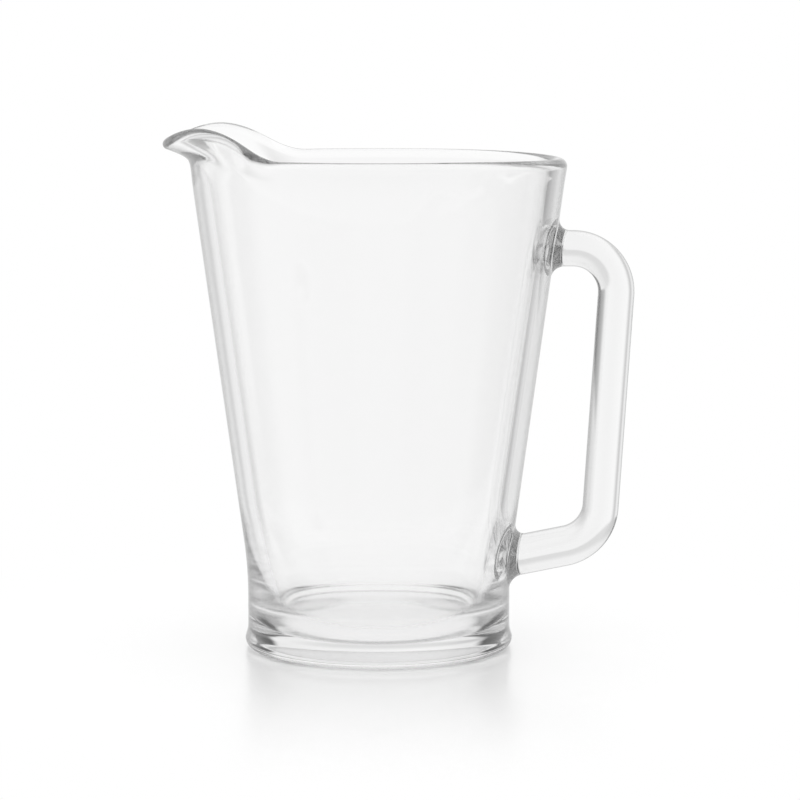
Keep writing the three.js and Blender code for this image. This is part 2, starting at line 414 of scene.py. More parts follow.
class Tree(Sheet):
    """A geometry node tree with named sizes."""

    def __init__(self, name: str) -> None:
        """Starts an empty tree with a geometry input and output.

        Args:
            name: The tree's name.
        """
        super().__init__(bpy.data.node_groups.new(name, "GeometryNodeTree"))
        for way in ("INPUT", "OUTPUT"):
            self.tree.interface.new_socket("Geometry", in_out=way, socket_type="NodeSocketGeometry")
        self.start = self.tree.nodes.new("NodeGroupInput")
        self.end = self.tree.nodes.new("NodeGroupOutput")
        self.values: dict[str, object] = {}

    def size(self, name: str, value: object, kind: str = "NodeSocketFloat") -> bpy.types.NodeSocket:
        """Adds a named input and keeps its value for the modifier.

        Args:
            name: The input's name.
            value: What the modifier sets it to.
            kind: The type of socket.

        Returns:
            The input's socket inside the tree.
        """
        item = self.tree.interface.new_socket(name, in_out="INPUT", socket_type=kind)
        self.values[item.identifier] = value
        return self.start.outputs[item.identifier]

    def between(self, share: object, first: object, second: object) -> bpy.types.NodeSocket:
        """Adds a node that goes a share of the way from one vector to another."""
        # The Mix node has sockets for each type of data: these are the ones for vectors.
        values = {0: share, 4: first, 5: second}
        return self.node("ShaderNodeMix", values, data_type="VECTOR").outputs[1]

    def upright(self, across: object, height: object) -> bpy.types.NodeSocket:
        """Adds a vector in the plane of the outline."""
        return self.node("ShaderNodeCombineXYZ", {"X": across, "Z": height}).outputs["Vector"]

    def apply(self, source: bpy.types.Object) -> bpy.types.Mesh:
        """Runs the tree on an object and takes the result as a plain mesh.

        Args:
            source: The object whose geometry goes in. It is removed.

        Returns:
            The new mesh.
        """
        modifier = source.modifiers.new("shape", "NODES")
        modifier.node_group = self.tree
        for identifier, value in self.values.items():
            modifier[identifier] = value
        shaped = source.evaluated_get(bpy.context.evaluated_depsgraph_get())
        mesh = bpy.data.meshes.new_from_object(shaped)
        bpy.data.objects.remove(source)
        return mesh


@dataclass(frozen=True)
class LipShape:
    """How far the rim is pulled out and lifted into the lip, by the angle from the lip's middle."""

    tip_reach: float = 0.0095
    spread_reach: float = 0.0121
    spread_angle: float = math.radians(12)
    reach_end_angle: float = math.radians(48)
    tip_lift: float = 0.0081
    tip_flat_angle: float = math.radians(8)
    ear_lift: float = 0.0123
    ear_angle: float = math.radians(29.5)
    lift_end_angle: float = math.radians(62)
    lean: float = math.radians(73)
    lean_flat_angle: float = math.radians(8)
    lean_end_angle: float = math.radians(42)
    thickness: float = 0.0042
    bend_sharpness: float = 0.58
    rim_dip: float = 0.0009
    dip_start_angle: float = math.radians(110)


@dataclass(frozen=True)
class WeldSeat:
    """Where a welded end of the handle sits on the wall.

    Attributes:
        cap_rings: Steps from a seat's edge to its middle, the same in the wall and in the bar.
        loop: The weld's edge, as rows of angle and height. Seen from outside, it goes clockwise
            from its top.
        centre: Angle and height of its middle.
    """

    cap_rings: ClassVar[int] = 4

    loop: np.ndarray
    centre: np.ndarray

    def rings(self, wall: WallShape, outer: np.ndarray, shares: np.ndarray) -> list[np.ndarray]:
        """Rings on the wall between the weld's edge and another loop, or its centre.

        Args:
            wall: The wall that the rings lie on.
            outer: Angle and height of the far loop, or of one point.
            shares: How far along the way each ring is.

        Returns:
            The points of each ring.
        """
        between = [self.loop + (outer - self.loop) * share for share in shares]
        return [wall.on_wall(ring[:, 0], ring[:, 1]) for ring in between]


@dataclass
class Skin:
    """A mesh that is put together from rings of points."""

    points: list[np.ndarray] = field(default_factory=list)
    faces: list[tuple[int, ...]] = field(default_factory=list)
    layers: list[Layer] = field(default_factory=list)

    def add_ring(self, ring: np.ndarray) -> int:
        """Adds a ring's points.

        Args:
            ring: The points.

        Returns:
            The number of the first.
        """
        first = len(self.points)
        self.points.extend(ring)
        return first

    def bridge(self, first: int, second: int, count: int, layer: Layer) -> None:
        """Joins two rings with quads.

        Args:
            first: The first ring's first point.
            second: The second ring's first point.
            count: Points in each ring.
            layer: What the faces are.
        """
        for side in range(count):
            after = (side + 1) % count
            self.faces.append((first + side, second + side, second + after, first + after))
            self.layers.append(layer)

    def close(self, ring: int, point: int, count: int, turned: bool) -> None:
        """Joins a ring to one point with triangles, as a weld's buried seat.

        Args:
            ring: The ring's first point.
            point: The point in its middle.
            count: Points in the ring.
            turned: Whether the triangles run the other way round.
        """
        for side in range(count):
            after = (side + 1) % count
            pair = (ring + after, ring + side) if turned else (ring + side, ring + after)
            self.faces.append((point, *pair))
            self.layers.append(Layer.SEAT)

    def to_mesh(self, name: str, materials: list[bpy.types.Material]) -> bpy.types.Mesh:
        """Makes a smooth mesh with a sharp edge where two layers meet.

        Args:
            name: The mesh's name.
            materials: The material of each layer.

        Returns:
            The new mesh.
        """
        mesh = bpy.data.meshes.new(name)
        mesh.from_pydata([tuple(point) for point in self.points], [], self.faces)
        for material in materials:
            mesh.materials.append(material)
        mesh.polygons.foreach_set("material_index", [layer.value for layer in self.layers])
        mesh.polygons.foreach_set("use_smooth", [True] * len(self.faces))
        edges: dict[Layer, set[tuple[int, int]]] = {layer: set() for layer in Layer}
        for face, layer in zip(mesh.polygons, self.layers, strict=True):
            edges[layer].update(face.edge_keys)
        for edge in mesh.edges:
            edge.use_edge_sharp = all(edge.key in keys for keys in edges.values())
        mesh.update()
        return mesh


@dataclass
class Vessel:
    """The pressing: foot, thick base, tapered wall, rounded rim and pulled lip."""

    wall: WallShape
    lip: LipShape = LipShape()
    lip_depth: float = 0.0115
    foot_radius: float = 0.0546
    foot_bead_height: float = 0.0095
    heel_radius: float = 0.0034
    heel_top_angle: float = math.radians(20)
    base_thickness: float = 0.0066
    floor_fillet: float = 0.020
    thickening: float = 0.0034
    thickening_top: float = 0.056
    thickening_blend: float = 0.006
    sides: int = 256
    underside_radii: tuple[float, ...] = (0.0, 0.018, 0.036)
    heel_points: int = 11
    bead_rows: int = 8
    waist_rows: int = 6
    wall_rows: int = 12
    shoulder_rows: int = 4
    lip_rows: int = 22
    rim_points: int = 25
    inside_rows: int = 40
    fillet_points: int = 28
    floor_shares: tuple[float, ...] = (0.75, 0.5, 0.25, 0.0)
    seat_columns: int = 28
    seat_rows: int = 12
    seat_row_step: float = 0.003
    seat_layers: int = 6
    merge_distance: float = 1e-6

    def seat_heights(self, centre: float) -> np.ndarray:
        """Heights of the wall's rows round a weld."""
        half = self.seat_rows * self.seat_row_step / 2
        return np.linspace(centre - half, centre + half, self.seat_rows + 1)

    def foot_profile(self) -> list[tuple[float, float]]:
        """Outline of the underside, the round heel and the bead that turns in to the waist.

        Returns:
            Radius and height of each point.
        """
        points = [(radius, 0.0) for radius in self.underside_radii]
        heel = (self.foot_radius - self.heel_radius, self.heel_radius)
        points += arc(heel, self.heel_radius, -math.pi / 2, self.heel_top_angle, self.heel_points)
        radius, height = points[-1]
        for share in np.linspace(0, 1, self.bead_rows + 1)[1:]:
            inward = 1 - (1 - share) ** 2
            points.append(
                (
                    radius + (self.wall.waist_radius - radius) * inward,
                    height + (self.foot_bead_height - height) * share,
                )
            )
        return points

    def inner_radius(self, height: np.ndarray) -> np.ndarray:
        """Inner radius of the wall, which grows thicker towards the foot.

        Args:
            height: Heights above the table.

        Returns:
            The radius at each height.
        """
        below = self.thickening_top - height
        thickened = (below + np.hypot(below, self.thickening_blend)) / 2
        plain = self.wall.taper_radius(height) - self.wall.thickness
        return plain - self.thickening * thickened / self.thickening_top

    def profile(self, weld_heights: list[float]) -> np.ndarray:
        """Outline of half the section, from the middle of the underside to the middle of the floor.

        Args:
            weld_heights: Heights of the handle's welds, lowest first.

        Returns:
            Rows of radius, zero and height.
        """
        wall = self.wall
        rim_radius, taper = wall.rim_round, wall.angle
        rim_centre, _, rim_height = wall.middle(wall.rim_height - rim_radius)
        rim_foot = rim_height - rim_radius * math.sin(taper)
        lip_start = wall.rim_height - self.lip_depth
        lower, upper = (self.seat_heights(height) for height in weld_heights)
        outside = np.concatenate(
            [
                np.linspace(self.foot_bead_height, lower[0], self.waist_rows)[1:-1],
                lower,
                np.linspace(lower[-1], upper[0], self.wall_rows)[1:-1],
                upper,
                np.linspace(upper[-1], lip_start, self.shoulder_rows)[1:-1],
                np.linspace(lip_start, rim_foot, self.lip_rows)[:-1],
            ]
        )
        points = self.foot_profile()
        points += zip(wall.outer_radius(outside), outside, strict=True)
        rim = (rim_centre, rim_height)
        points += arc(rim, rim_radius, -taper, math.pi - taper, self.rim_points)
        fillet = self.floor_fillet
        fillet_height = self.base_thickness + fillet
        lower_angle = math.atan(wall.slope + self.thickening / self.thickening_top)
        fillet_centre = self.inner_radius(fillet_height) - fillet / math.cos(lower_angle)
        wall_end = fillet_height - fillet * math.sin(lower_angle)
        inside = np.concatenate(
            [
                np.linspace(points[-1][1], lip_start, self.lip_rows)[1:],
                np.linspace(lip_start, wall_end, self.inside_rows)[1:-1],
            ]
        )
        points += zip(self.inner_radius(inside), inside, strict=True)
        centre = (fillet_centre, fillet_height)
        points += arc(centre, fillet, -lower_angle, -math.pi / 2, self.fillet_points)
        points += [(fillet_centre * share, self.base_thickness) for share in self.floor_shares]
        return np.array([(radius, 0.0, height) for radius, height in points])

    def turn(self, profile: np.ndarray, glass: bpy.types.Material) -> bpy.types.Mesh:
        """Turns the outline round the axis and pulls the lip, with geometry nodes.

        Args:
            profile: The outline's points.
            glass: The material of the result.

        Returns:
            The turned mesh.
        """
        outline = bpy.data.meshes.new("outline")
        outline.from_pydata(profile.tolist(), [(i, i + 1) for i in range(len(profile) - 1)], [])
        source = bpy.data.objects.new("outline", outline)
        bpy.context.collection.objects.link(source)
        tree = Tree("turned_vessel")
        sides = tree.size("Sides", self.sides, "NodeSocketInt")
        material = tree.size("Material", glass, "NodeSocketMaterial")
        geometry = tree.start.outputs["Geometry"]
        counted = tree.node("GeometryNodeAttributeDomainSize", {0: geometry})
        rows = counted.outputs["Point Count"]
        counts = {"Vertices X": tree.sum("ADD", sides, 1), "Vertices Y": rows}
        grid = tree.node("GeometryNodeMeshGrid", counts).outputs["Mesh"]
        index = tree.node("GeometryNodeInputIndex", {}).outputs["Index"]
        place = tree.node("GeometryNodeInputPosition", {}).outputs["Position"]
        wanted = {"Geometry": geometry, "Value": place, "Index": tree.sum("MODULO", index, rows)}
        sampled = tree.node("GeometryNodeSampleIndex", wanted, data_type="FLOAT_VECTOR")
        column = tree.sum("FLOOR", tree.sum("DIVIDE", index, rows))
        angle = tree.sum("MULTIPLY", tree.sum("DIVIDE", column, sides), math.tau)
        cosine, sine = tree.sum("COSINE", angle), tree.sum("SINE", angle)
        from_lip = tree.sum("ARCCOSINE", tree.sum("MULTIPLY", cosine, -1.0))
        shaped = self.pull_lip(tree, sampled.outputs["Value"], from_lip)
        parts = tree.node("ShaderNodeSeparateXYZ", {0: shaped})
        radius = parts.outputs["X"]
        turned = {
            "X": tree.sum("MULTIPLY", radius, cosine),
            "Y": tree.sum("MULTIPLY", radius, sine),
            "Z": parts.outputs["Z"],
        }
        moved = tree.node("ShaderNodeCombineXYZ", turned).outputs["Vector"]
        steps = {
            "GeometryNodeSetPosition": {"Position": moved},
            "GeometryNodeMergeByDistance": {"Distance": self.merge_distance},
            "GeometryNodeSetShadeSmooth": {},
            "GeometryNodeRealizeInstances": {},
            "GeometryNodeSetMaterial": {"Material": material},
        }
        for kind, values in steps.items():
            grid = tree.node(kind, {"Geometry": grid, **values}).outputs["Geometry"]
        tree.tree.links.new(grid, tree.end.inputs["Geometry"])
        return tree.apply(source)

    def pull_lip(
        self, tree: Tree, sampled: bpy.types.NodeSocket, from_lip: bpy.types.NodeSocket
    ) -> bpy.types.NodeSocket:
        """Adds the pull that bends the top of the wall into the lip.

        The middle of the wall is laid along a cubic curve, and its two faces keep their distance
        from it, less what the lip is thinned by.

        Args:
            tree: The vessel's tree.
            sampled: A point of the outline.
            from_lip: The angle from the lip's middle.

        Returns:
            The point's new place in the outline's plane.
        """
        wall = self.wall
        taper = tree.size("Taper Angle", wall.angle)
        start = wall.middle(wall.rim_height - self.lip_depth)
        end = wall.middle(wall.rim_height - wall.rim_round)
        bend_start = tree.size("Bend Start", start, "NodeSocketVector")
        rim_centre = tree.size("Rim Centre", end, "NodeSocketVector")
        rim_thickness = tree.size("Rim Thickness", 2 * wall.rim_round)
        size = {name: tree.size(f"Lip {name}", value) for name, value in vars(self.lip).items()}

        lip_end = tree.vector("ADD", rim_centre, self.rim_move(tree, size, from_lip))
        bend = tree.eased(from_lip, size["lean_flat_angle"], size["lean_end_angle"], 1.0, 0.0)
        lean = tree.sum("MULTIPLY_ADD", tree.sum("SUBTRACT", size["lean"], taper), bend, taper)
        gap = tree.measure("DISTANCE", bend_start, lip_end)
        hold = tree.sum("MULTIPLY", gap, size["bend_sharpness"])
        up_wall = tree.upright(tree.sum("SINE", taper), tree.sum("COSINE", taper))
        up_lip = tree.upright(tree.sum("SINE", lean), tree.sum("COSINE", lean))
        rising = tree.vector("ADD", bend_start, tree.scaled(up_wall, hold))
        leaning = tree.vector("SUBTRACT", lip_end, tree.scaled(up_lip, hold))

        offset = tree.vector("SUBTRACT", sampled, bend_start)
        along = tree.measure("DOT_PRODUCT", offset, up_wall)
        sideways = tree.vector("CROSS_PRODUCT", (0.0, 1.0, 0.0), up_wall)
        outward = tree.measure("DOT_PRODUCT", offset, sideways)
        length = tree.measure("DISTANCE", bend_start, rim_centre)
        share = tree.node("ShaderNodeClamp", {0: tree.sum("DIVIDE", along, length)}).outputs[0]
        first = tree.between(share, bend_start, rising)
        second = tree.between(share, rising, leaning)
        third = tree.between(share, leaning, lip_end)
        before = tree.between(share, first, second)
        after = tree.between(share, second, third)
        heading = tree.vector("NORMALIZE", tree.vector("SUBTRACT", after, before))

        lip_share = tree.sum("SUBTRACT", tree.sum("DIVIDE", size["thickness"], rim_thickness), 1.0)
        thinned = tree.sum("MULTIPLY_ADD", tree.sum("MULTIPLY", share, bend), lip_share, 1.0)
        past_rim = tree.sum("MAXIMUM", tree.sum("SUBTRACT", along, length), 0.0)
        beyond = tree.scaled(heading, tree.sum("MULTIPLY", past_rim, thinned))
        aside = tree.vector("CROSS_PRODUCT", (0.0, 1.0, 0.0), heading)
        off_line = tree.scaled(aside, tree.sum("MULTIPLY", outward, thinned))
        on_line = tree.vector("ADD", tree.between(share, before, after), beyond)
        bent = tree.vector("ADD", on_line, off_line)
        return tree.between(tree.sum("GREATER_THAN", along, 0.0), sampled, bent)

    def rim_move(
        self, tree: Tree, size: dict[str, bpy.types.NodeSocket], from_lip: bpy.types.NodeSocket
    ) -> bpy.types.NodeSocket:
        """Adds how far the middle of the rim is pulled out and lifted.

        Args:
            tree: The vessel's tree.
            size: The lip's sizes, by name.
            from_lip: The angle from the lip's middle.

        Returns:
            The move in the outline's plane.
        """
        reach = tree.eased(
            from_lip, 0.0, size["spread_angle"], size["tip_reach"], size["spread_reach"]
        )
        reach_left = tree.eased(from_lip, size["spread_angle"], size["reach_end_angle"], 1.0, 0.0)
        lift = tree.eased(
            from_lip, size["tip_flat_angle"], size["ear_angle"], size["tip_lift"], size["ear_lift"]
        )
        lift_left = tree.eased(from_lip, size["ear_angle"], size["lift_end_angle"], 1.0, 0.0)
        dip = tree.eased(from_lip, size["dip_start_angle"], math.pi, 0.0, size["rim_dip"])
        raised = tree.sum("SUBTRACT", tree.sum("MULTIPLY", lift, lift_left), dip)
        return tree.upright(tree.sum("MULTIPLY", reach, reach_left), raised)

    def block_edge(self, centre: float) -> np.ndarray:
        """Edge of the block of wall cells round a weld, clockwise from its top, seen from outside.

        Args:
            centre: The weld's height.

        Returns:
            Rows of angle and height.
        """
        heights = self.seat_heights(centre)
        half = self.seat_columns // 2
        step = math.tau / self.sides
        right, left = half * step, -half * step
        top = [(column * step, heights[-1]) for column in range(half)]
        down = [(right, height) for height in heights[:0:-1]]
        bottom = [(column * step, heights[0]) for column in range(half, -half, -1)]
        up = [(left, height) for height in heights[:-1]]
        back = [(column * step, heights[-1]) for column in range(-half, 0)]
        return np.array(top + down + bottom + up + back)

    def block_inside(self, centre: float) -> np.ndarray:
        """Corners of the wall's cells inside the block round a weld.

        Args:
            centre: The weld's height.

        Returns:
            Rows of angle and height.
        """
        half = self.seat_columns // 2
        columns = np.arange(1 - half, half) * math.tau / self.sides
        angles, heights = np.meshgrid(columns, self.seat_heights(centre)[1:-1])
        return np.column_stack([angles.ravel(), heights.ravel()])

    def open_seat(self, mesh: bpy.types.Mesh, seat: WeldSeat) -> None:
        """Runs the wall's faces up to a weld's edge, and lays the weld's buried seat inside it.

        Args:
            mesh: The vessel's mesh.
            seat: The weld.
        """
        edge, inside = self.block_edge(seat.centre[1]), self.block_inside(seat.centre[1])
        net = bmesh.new()
        net.from_mesh(mesh)
        rim = nearest(net, self.wall.on_wall(edge[:, 0], edge[:, 1]))
        covered = nearest(net, self.wall.on_wall(inside[:, 0], inside[:, 1]))
        skin_rings = seat.rings(self.wall, edge, np.linspace(1, 0, self.seat_layers + 1)[1:])
        buried = np.linspace(0, 1, WeldSeat.cap_rings + 1)[1:-1]
        seat_rings = seat.rings(self.wall, seat.centre, buried)
        rings = [rim]
        for ring in skin_rings + seat_rings:
            rings.append([net.verts.new(point) for point in ring])
        middle = net.verts.new(self.wall.on_wall(seat.centre[:1], seat.centre[1:])[0])
        sides = [(side, (side + 1) % len(rim)) for side in range(len(rim))]
        faces = []
        for number, (outer, nearer) in enumerate(pairwise(rings)):
            layer = Layer.SKIN if number < len(skin_rings) else Layer.SEAT
            for side, after in sides:
                faces.append(((outer[side], nearer[side], nearer[after], outer[after]), layer))
        last = rings[-1]
        faces += [((last[side], middle, last[after]), Layer.SEAT) for side, after in sides]
        for corners, layer in faces:
            face = net.faces.new(corners)
            face.smooth = True
            face.material_index = layer.value
        bmesh.ops.delete(net, geom=covered, context="VERTS")
        net.to_mesh(mesh)
        net.free()

    def build(
        self, seats: list[WeldSeat], glass: bpy.types.Material, fused: bpy.types.Material
    ) -> bpy.types.Object:
        """Makes the vessel.

        Args:
            seats: The handle's welds, lowest first.
            glass: The material of the skin.
            fused: The material of the welds' buried seats.

        Returns:
            The vessel's object.
        """
        mesh = self.turn(self.profile([seat.centre[1] for seat in seats]), glass)
        mesh.name = "glass_vessel"
        mesh.materials.clear()
        for material in (glass, fused):
            mesh.materials.append(material)
        mesh.polygons.foreach_set("material_index", [Layer.SKIN.value] * len(mesh.polygons))
        for seat in seats:
            self.open_seat(mesh, seat)
        vessel = bpy.data.objects.new("glass_vessel", mesh)
        bpy.context.collection.objects.link(vessel)
        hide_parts("vessel")
        return vessel


@dataclass
class Handle:
    """The solid bar, bent into a D and welded to the wall at two flared ends."""

    wall: WallShape
    upper_weld_height: float = 0.1628
    lower_weld_height: float = 0.0368
    lower_arm_rise: float = 0.0073
    grip_standoff_top: float = 0.0258
    grip_standoff_low: float = 0.0353
    upper_bend_radius: float = 0.0174
    lower_bend_radius: float = 0.018
    upper_arm_thickness: float = 0.0146
    grip_thickness: float = 0.0147
    lower_arm_thickness: float = 0.0162
    width: float = 0.018
    squareness: float = 2.3
    fillet_above: float = 0.0052
    fillet_below: float = 0.0045
    edge_angle: float = math.radians(8)
    sides: int = 80
    fillet_steps: int = 10
    bend_steps: int = 24
    grip_steps: int = 12
    halvings: int = 48

    @property
    def mirrored(self) -> np.ndarray:
        """Order of a ring's points when it is seen from the other end of the bar."""
        return (self.sides // 2 - np.arange(self.sides)) % self.sides

    def section(
        self,
        centre: np.ndarray,
        heading: float,
        thickness: float,
        widening: np.ndarray | float = 0.0,
    ) -> np.ndarray:
        """Ring of the bar's section, square to its heading in the XZ plane.

        Args:
            centre: X and Z of the middle.
            heading: Direction of the bar.
            thickness: Size in the plane of the handle.
            widening: How much the section is grown, at each point.

        Returns:
            The ring's points, from its top.
        """
        turn = np.arange(self.sides) * math.tau / self.sides
        across, along = np.cos(turn), np.sin(turn)
        power = 2 / self.squareness
        up = (thickness / 2 + widening) * np.sign(across) * np.abs(across) ** power
        aside = (self.width / 2 + widening) * np.sign(along) * np.abs(along) ** power
        across, rise = centre[0] - math.sin(heading) * up, centre[1] + math.cos(heading) * up
        return np.column_stack([across, aside, rise])

    def meet_wall(self, ring: np.ndarray, direction: np.ndarray) -> np.ndarray:
        """Moves a ring's points along a direction until they lie on the wall.

        Args:
            ring: Points outside the wall.
            direction: The way to the wall.

        Returns:
            The points on the wall.
        """
        outside = np.zeros(len(ring))
        inside = np.full(len(ring), self.wall.rim_radius)
        for _ in range(self.halvings):
            middle = (outside + inside) / 2
            trial = ring + middle[:, None] * direction
            clear = np.hypot(trial[:, 0], trial[:, 1]) > self.wall.outer_radius(trial[:, 2])
            outside = np.where(clear, middle, outside)
            inside = np.where(clear, inside, middle)
        return ring + outside[:, None] * direction

    def weld_rings(self, corner: np.ndarray, heading: float, thickness: float) -> list[np.ndarray]:
        """Rings of a welded end, from its edge on the wall out to the plain arm.

        Args:
            corner: X and Z of a point on the arm's centre line.
            heading: Direction of the arm, away from the wall.
            thickness: The arm's thickness.

        Returns:
            The rings.
        """
        direction = np.array([-math.cos(heading), 0.0, -math.sin(heading)])
        across = np.cos(np.arange(self.sides) * math.tau / self.sides)
        fillet = self.fillet_below + (self.fillet_above - self.fillet_below) * (1 + across) / 2
        depth = (self.fillet_above + self.fillet_below) / 2
        rings = []
        for turn in np.linspace(self.edge_angle, math.pi / 2, self.fillet_steps + 1):
            outline = self.section(corner, heading, thickness, fillet * (1 - math.sin(turn)))
            back = (1 - math.cos(turn)) * depth - (1 - math.cos(self.edge_angle)) * depth
            rings.append(self.meet_wall(outline, direction) - back * direction)
        return rings

    def bend_rings(
        self,
        corner: np.ndarray,
        headings: tuple[float, float],
        radius: float,
        thicknesses: tuple[float, float],
    ) -> list[np.ndarray]:
        """Rings of a round bend at a corner of the centre line.

        Args:
            corner: X and Z of the corner.
            headings: Direction of the bar before and after it.
            radius: Radius of the centre line.
            thicknesses: The bar's thickness before and after it.

        Returns:
            The rings.
        """
        before, after = headings
        tangent = radius * math.tan(abs(after - before) / 2)
        side = math.copysign(1, after - before)
        start = corner - tangent * np.array([math.cos(before), math.sin(before)])
        pivot = start + side * radius * np.array([-math.sin(before), math.cos(before)])
        rings = []
        for share in np.linspace(0, 1, self.bend_steps + 1):
            heading = before + (after - before) * share
            centre = pivot + side * radius * np.array([math.sin(heading), -math.cos(heading)])
            thickness = thicknesses[0] + (thicknesses[1] - thicknesses[0]) * share
            rings.append(self.section(centre, heading, thickness))
        return rings

    def rings(self) -> list[np.ndarray]:
        """Rings of the whole bar, from the upper weld round to the lower one.

        Returns:
            The rings.
        """
        upper = np.array(
            [
                self.wall.outer_radius(self.upper_weld_height) + self.grip_standoff_top,
                self.upper_weld_height,
            ]
        )
        lower = np.array(
            [
                self.wall.outer_radius(self.lower_weld_height) + self.grip_standoff_low,
                self.lower_weld_height + self.lower_arm_rise,
            ]
        )
        slope = math.atan2(self.lower_arm_rise, self.grip_standoff_low)
        grip = math.atan2(lower[1] - upper[1], lower[0] - upper[0])
        upper_bend = self.bend_rings(
            upper,
            (0.0, grip),
            self.upper_bend_radius,
            (self.upper_arm_thickness, self.grip_thickness),
        )
        lower_bend = self.bend_rings(
            lower,
            (grip, slope - math.pi),
            self.lower_bend_radius,
            (self.grip_thickness, self.lower_arm_thickness),
        )
        shares = np.linspace(0, 1, self.grip_steps + 1)[1:-1]
        straight = [upper_bend[-1] + (lower_bend[0] - upper_bend[-1]) * share for share in shares]
        upper_weld = self.weld_rings(upper, 0.0, self.upper_arm_thickness)
        lower_weld = self.weld_rings(lower, slope, self.lower_arm_thickness)
        lower_end = [ring[self.mirrored] for ring in lower_weld[::-1]]
        return upper_weld + upper_bend + straight + lower_bend + lower_end

    def seats(self) -> list[WeldSeat]:
        """Finds the two welds as they lie on the wall.

        Returns:
            The seats, lowest first.
        """
        rings = self.rings()
        ends = (
            (self.lower_weld_height, rings[-1][self.mirrored]),
            (self.upper_weld_height, rings[0]),
        )
        found = []
        for height, ring in ends:
            loop = np.column_stack([np.arctan2(ring[:, 1], ring[:, 0]), ring[:, 2]])
            found.append(WeldSeat(loop, np.array([0.0, height])))
        return found

    def skin(self) -> Skin:
        """Puts the bar together from its rings and closes it with the welds' buried seats.

        Returns:
            The bar's skin.
        """
        lower, upper = self.seats()
        shares = np.linspace(1, 0, WeldSeat.cap_rings + 1)[1:-1]
        caps = [seat.rings(self.wall, seat.centre, shares) for seat in (upper, lower)]
        middles = [self.wall.on_wall(seat.centre[:1], seat.centre[1:]) for seat in (upper, lower)]
        rings = caps[0] + self.rings() + [ring[self.mirrored] for ring in caps[1][::-1]]
        skin = Skin()
        start = skin.add_ring(middles[0])
        firsts = [skin.add_ring(ring) for ring in rings]
        end = skin.add_ring(middles[1])
        skin.close(firsts[0], start, self.sides, turned=False)
        for number, (first, second) in enumerate(pairwise(firsts)):
            buried = number < len(caps[0]) or number + 1 >= len(rings) - len(caps[1])
            layer = Layer.SEAT if buried else Layer.SKIN
            skin.bridge(first, second, self.sides, layer)
        skin.close(firsts[-1], end, self.sides, turned=True)
        return skin

    def build(self, glass: bpy.types.Material, fused: bpy.types.Material) -> bpy.types.Object:
        """Makes the handle.

        Args:
            glass: The material of the skin.
            fused: The material of the welds' buried seats.

        Returns:
            The handle's object.
        """
        mesh = self.skin().to_mesh("glass_handle", [glass, fused])
        handle = bpy.data.objects.new("glass_handle", mesh)
        bpy.context.collection.objects.link(handle)
        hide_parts("handle")
        return handle


@dataclass(frozen=True)
class Room:
    """Room that is white for the eye and the table, with dim strips for the glass to bend.

    The levels go by the angle from straight behind the jug, in degrees to the right, and change
    with the height of the direction between the two heights that each step gives.
    """

    name: str = "studio"
    shade_step: tuple[float, float] = (-0.160, -0.148)
    eye_step: tuple[float, float] = (-0.06, 0.0)
    above_step: tuple[float, float] = (0.06, 0.26)
    overhead_step: tuple[float, float] = (0.57, 0.71)
    overhead: float = 1.0
    table: Stations = (
        (-180, 0.92),
        (-90, 1.02),
        (-70, 0.95),
        (-57, 0.70),
        (-46, 0.94),
        (-40, 0.92),
        (-32, 0.64),
        (-21, 1.06),
        (0, 1.01),
        (14, 1.03),
        (32, 0.80),
        (47, 0.50),
        (70, 0.97),
        (95, 0.97),
        (180, 0.92),
    )
    far_shade: Stations = (
        (-180, 1.00),
        (20, 1.00),
        (30, 0.62),
        (38, 0.50),
        (45, 0.28),
        (60, 0.50),
        (75, 1.00),
        (180, 1.00),
    )
    eye_level: Stations = (
        (-180, 0.70),
        (-95, 0.60),
        (-76, 0.08),
        (-48, 0.06),
        (-40, 0.60),
        (-15, 0.80),
        (10, 0.80),
        (36, 0.95),
        (43, 0.12),
        (62, 0.10),
        (80, 0.60),
        (180, 0.70),
    )
    above: Stations = (
        (-180, 0.80),
        (-125, 0.80),
        (-100, 0.12),
        (-78, 0.04),
        (-47, 0.04),
        (-38, 0.90),
        (-15, 1.00),
        (15, 0.95),
        (36, 0.92),
        (43, 0.03),
        (66, 0.03),
        (85, 0.70),
        (180, 0.80),
    )

    def make(self) -> bpy.types.World:
        """Makes the world.

        Returns:
            The new world.
        """
        world = bpy.data.worlds.new(self.name)
        world.use_nodes = True
        sheet = Sheet(world.node_tree)
        place = sheet.node("ShaderNodeTexCoord", {}).outputs["Generated"]
        near = sheet.by_azimuth(place, self.table)
        far = sheet.sum("MULTIPLY", near, sheet.by_azimuth(place, self.far_shade))
        eye = sheet.by_azimuth(place, self.eye_level)
        above = sheet.by_azimuth(place, self.above)
        height = sheet.node("ShaderNodeSeparateXYZ", {0: place}).outputs["Z"]
        level = sheet.eased(height, *self.shade_step, near, far)
        level = sheet.eased(height, *self.eye_step, level, eye)
        level = sheet.eased(height, *self.above_step, level, above)
        level = sheet.eased(height, *self.overhead_step, level, self.overhead)
        strength = sheet.eased(sheet.through_glass(), 0.0, 1.0, 1.0, level)
        background = world.node_tree.nodes["Background"].inputs
        background["Color"].default_value = grey(1.0)
        sheet.tree.links.new(strength, background["Strength"])
        return world


